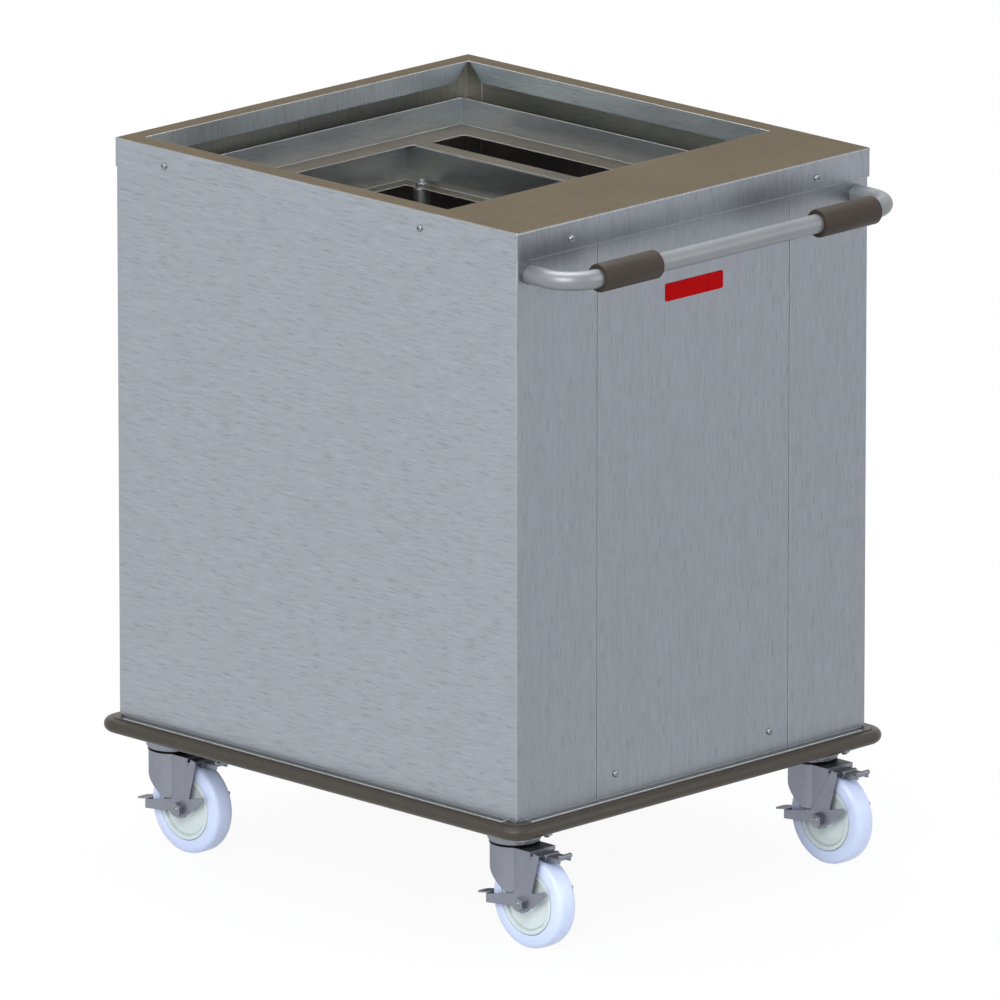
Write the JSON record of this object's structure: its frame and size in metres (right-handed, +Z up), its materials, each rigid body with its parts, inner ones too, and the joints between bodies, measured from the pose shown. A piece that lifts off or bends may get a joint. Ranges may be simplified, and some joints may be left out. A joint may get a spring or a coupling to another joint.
{
  "type": "mobile tray dispenser",
  "caption": "Stainless cart with an open well, a sprung tray carriage that sinks as it is loaded, a push handle with grips, a bumper all round and braked swivel castors.",
  "frame": {"origin": "on the floor, under the centre of the bounding box", "axes": "+Z up; +Y from the handle end towards the tray well; +X to the right of someone who pushes the cart by its handle"},
  "size_m": [0.707, 0.863, 0.972],
  "materials": {
    "base_steel": "stainless base frame",
    "brushed_stainless": "satin brushed stainless sheet, grain along each panel",
    "buffer_rubber": "black rubber",
    "bumper_rubber": "dark grey-brown rubber",
    "carriage_steel": "satin stainless sheet",
    "castor_steel": "bright zinc plated pressed steel, grey",
    "grip_rubber": "dark grey-brown sleeve, matt",
    "handle_tube": "polished stainless tube",
    "inner_steel": "plain stainless pressings",
    "nameplate": "plain red plate",
    "rail_steel": "stainless bumper channel",
    "roller_nylon": "natural nylon",
    "spring_steel": "drawn spring wire",
    "stainless_screws": "stainless",
    "wheel_hub": "pale grey moulded hub",
    "wheel_tread": "pale blue-white polymer tread",
    "zinc_fasteners": "zinc plated"
  },
  "bodies": {
    "cabinet": {"access_panel": "brushed_stainless", "access_panel_screws": "stainless_screws", "base_frame": "base_steel", "bumper": "bumper_rubber", "bumper_rail": "rail_steel", "castor_bolts": "zinc_fasteners", "deck_screws": "stainless_screws", "extension_springs": "spring_steel", "far_left_castor_plate": "castor_steel", "far_right_castor_plate": "castor_steel", "handle_backing_plates": "inner_steel", "handle_grips": "grip_rubber", "handle_tube": "handle_tube", "hanger_bar": "inner_steel", "left_guide_channel": "inner_steel", "left_side_panel": "brushed_stainless", "nameplate": "nameplate", "near_left_castor_plate": "castor_steel", "near_right_castor_plate": "castor_steel", "rear_panel": "brushed_stainless", "right_guide_channel": "inner_steel", "right_side_panel": "brushed_stainless", "stop_buffers": "buffer_rubber", "top_deck": "brushed_stainless"},
    "carriage": {"carriage_pan": "carriage_steel", "carriage_well": "carriage_steel", "carriage_posts": "carriage_steel", "post_studs": "zinc_fasteners", "carriage_arms": "inner_steel", "carriage_back_plate": "inner_steel", "roller_axles": "zinc_fasteners"},
    "left_upper_roller": {"left_upper_roller": "roller_nylon"},
    "left_lower_roller": {"left_lower_roller": "roller_nylon"},
    "right_upper_roller": {"right_upper_roller": "roller_nylon"},
    "right_lower_roller": {"right_lower_roller": "roller_nylon"},
    "near_left_fork": {"near_left_castor_fork": "castor_steel", "near_left_castor_brake_frame": "castor_steel", "near_left_castor_axle": "zinc_fasteners"},
    "near_left_wheel": {"near_left_castor_tyre": "wheel_tread", "near_left_castor_hub": "wheel_hub"},
    "near_left_pedal": {"near_left_castor_brake_pedal": "castor_steel"},
    "near_right_fork": {"near_right_castor_fork": "castor_steel", "near_right_castor_brake_frame": "castor_steel", "near_right_castor_axle": "zinc_fasteners"},
    "near_right_wheel": {"near_right_castor_tyre": "wheel_tread", "near_right_castor_hub": "wheel_hub"},
    "near_right_pedal": {"near_right_castor_brake_pedal": "castor_steel"},
    "far_left_fork": {"far_left_castor_fork": "castor_steel", "far_left_castor_brake_frame": "castor_steel", "far_left_castor_axle": "zinc_fasteners"},
    "far_left_wheel": {"far_left_castor_tyre": "wheel_tread", "far_left_castor_hub": "wheel_hub"},
    "far_left_pedal": {"far_left_castor_brake_pedal": "castor_steel"},
    "far_right_fork": {"far_right_castor_fork": "castor_steel", "far_right_castor_brake_frame": "castor_steel", "far_right_castor_axle": "zinc_fasteners"},
    "far_right_wheel": {"far_right_castor_tyre": "wheel_tread", "far_right_castor_hub": "wheel_hub"},
    "far_right_pedal": {"far_right_castor_brake_pedal": "castor_steel"}
  },
  "joints": [
    {"name": "carriage_slide", "type": "slide", "parent": "cabinet", "child": "carriage", "axis": [0, 0, 1], "range_m": [-0.45, 0], "stiffness_N_per_m": 1300, "springref_m": 0.15, "deforming": ["extension_springs"]},
    {"name": "left_upper_roller_spin", "type": "hinge", "parent": "carriage", "child": "left_upper_roller", "pos_m": [-0.171, -0.226, 0.8397], "axis": [1, 0, 0], "continuous": true},
    {"name": "left_lower_roller_spin", "type": "hinge", "parent": "carriage", "child": "left_lower_roller", "pos_m": [-0.171, -0.226, 0.6797], "axis": [1, 0, 0], "continuous": true},
    {"name": "right_upper_roller_spin", "type": "hinge", "parent": "carriage", "child": "right_upper_roller", "pos_m": [0.171, -0.226, 0.8397], "axis": [1, 0, 0], "continuous": true},
    {"name": "right_lower_roller_spin", "type": "hinge", "parent": "carriage", "child": "right_lower_roller", "pos_m": [0.171, -0.226, 0.6797], "axis": [1, 0, 0], "continuous": true},
    {"name": "near_left_swivel", "type": "hinge", "parent": "cabinet", "child": "near_left_fork", "pos_m": [-0.281, -0.285, 0.136], "axis": [0, 0, 1], "continuous": true},
    {"name": "near_left_wheel_spin", "type": "hinge", "parent": "near_left_fork", "child": "near_left_wheel", "pos_m": [-0.281, -0.322, 0.0635], "axis": [1, 0, 0], "continuous": true},
    {"name": "near_left_brake_press", "type": "hinge", "parent": "near_left_fork", "child": "near_left_pedal", "pos_m": [-0.281, -0.35112, 0.12891], "axis": [1, 0, 0], "range_deg": [0, 8]},
    {"name": "near_right_swivel", "type": "hinge", "parent": "cabinet", "child": "near_right_fork", "pos_m": [0.281, -0.285, 0.136], "axis": [0, 0, 1], "continuous": true},
    {"name": "near_right_wheel_spin", "type": "hinge", "parent": "near_right_fork", "child": "near_right_wheel", "pos_m": [0.281, -0.322, 0.0635], "axis": [1, 0, 0], "continuous": true},
    {"name": "near_right_brake_press", "type": "hinge", "parent": "near_right_fork", "child": "near_right_pedal", "pos_m": [0.281, -0.35112, 0.12891], "axis": [1, 0, 0], "range_deg": [0, 8]},
    {"name": "far_left_swivel", "type": "hinge", "parent": "cabinet", "child": "far_left_fork", "pos_m": [-0.281, 0.355, 0.136], "axis": [0, 0, 1], "continuous": true},
    {"name": "far_left_wheel_spin", "type": "hinge", "parent": "far_left_fork", "child": "far_left_wheel", "pos_m": [-0.281, 0.318, 0.0635], "axis": [1, 0, 0], "continuous": true},
    {"name": "far_left_brake_press", "type": "hinge", "parent": "far_left_fork", "child": "far_left_pedal", "pos_m": [-0.281, 0.28888, 0.12891], "axis": [1, 0, 0], "range_deg": [0, 8]},
    {"name": "far_right_swivel", "type": "hinge", "parent": "cabinet", "child": "far_right_fork", "pos_m": [0.281, 0.355, 0.136], "axis": [0, 0, 1], "continuous": true},
    {"name": "far_right_wheel_spin", "type": "hinge", "parent": "far_right_fork", "child": "far_right_wheel", "pos_m": [0.281, 0.318, 0.0635], "axis": [1, 0, 0], "continuous": true},
    {"name": "far_right_brake_press", "type": "hinge", "parent": "far_right_fork", "child": "far_right_pedal", "pos_m": [0.281, 0.28888, 0.12891], "axis": [1, 0, 0], "range_deg": [0, 8]}
  ],
  "couplings": [
    {"joint": "left_upper_roller_spin", "follows": "carriage_slide", "rad_per_m": -62.5},
    {"joint": "left_lower_roller_spin", "follows": "carriage_slide", "rad_per_m": 62.5},
    {"joint": "right_upper_roller_spin", "follows": "carriage_slide", "rad_per_m": -62.5},
    {"joint": "right_lower_roller_spin", "follows": "carriage_slide", "rad_per_m": 62.5}
  ]
}
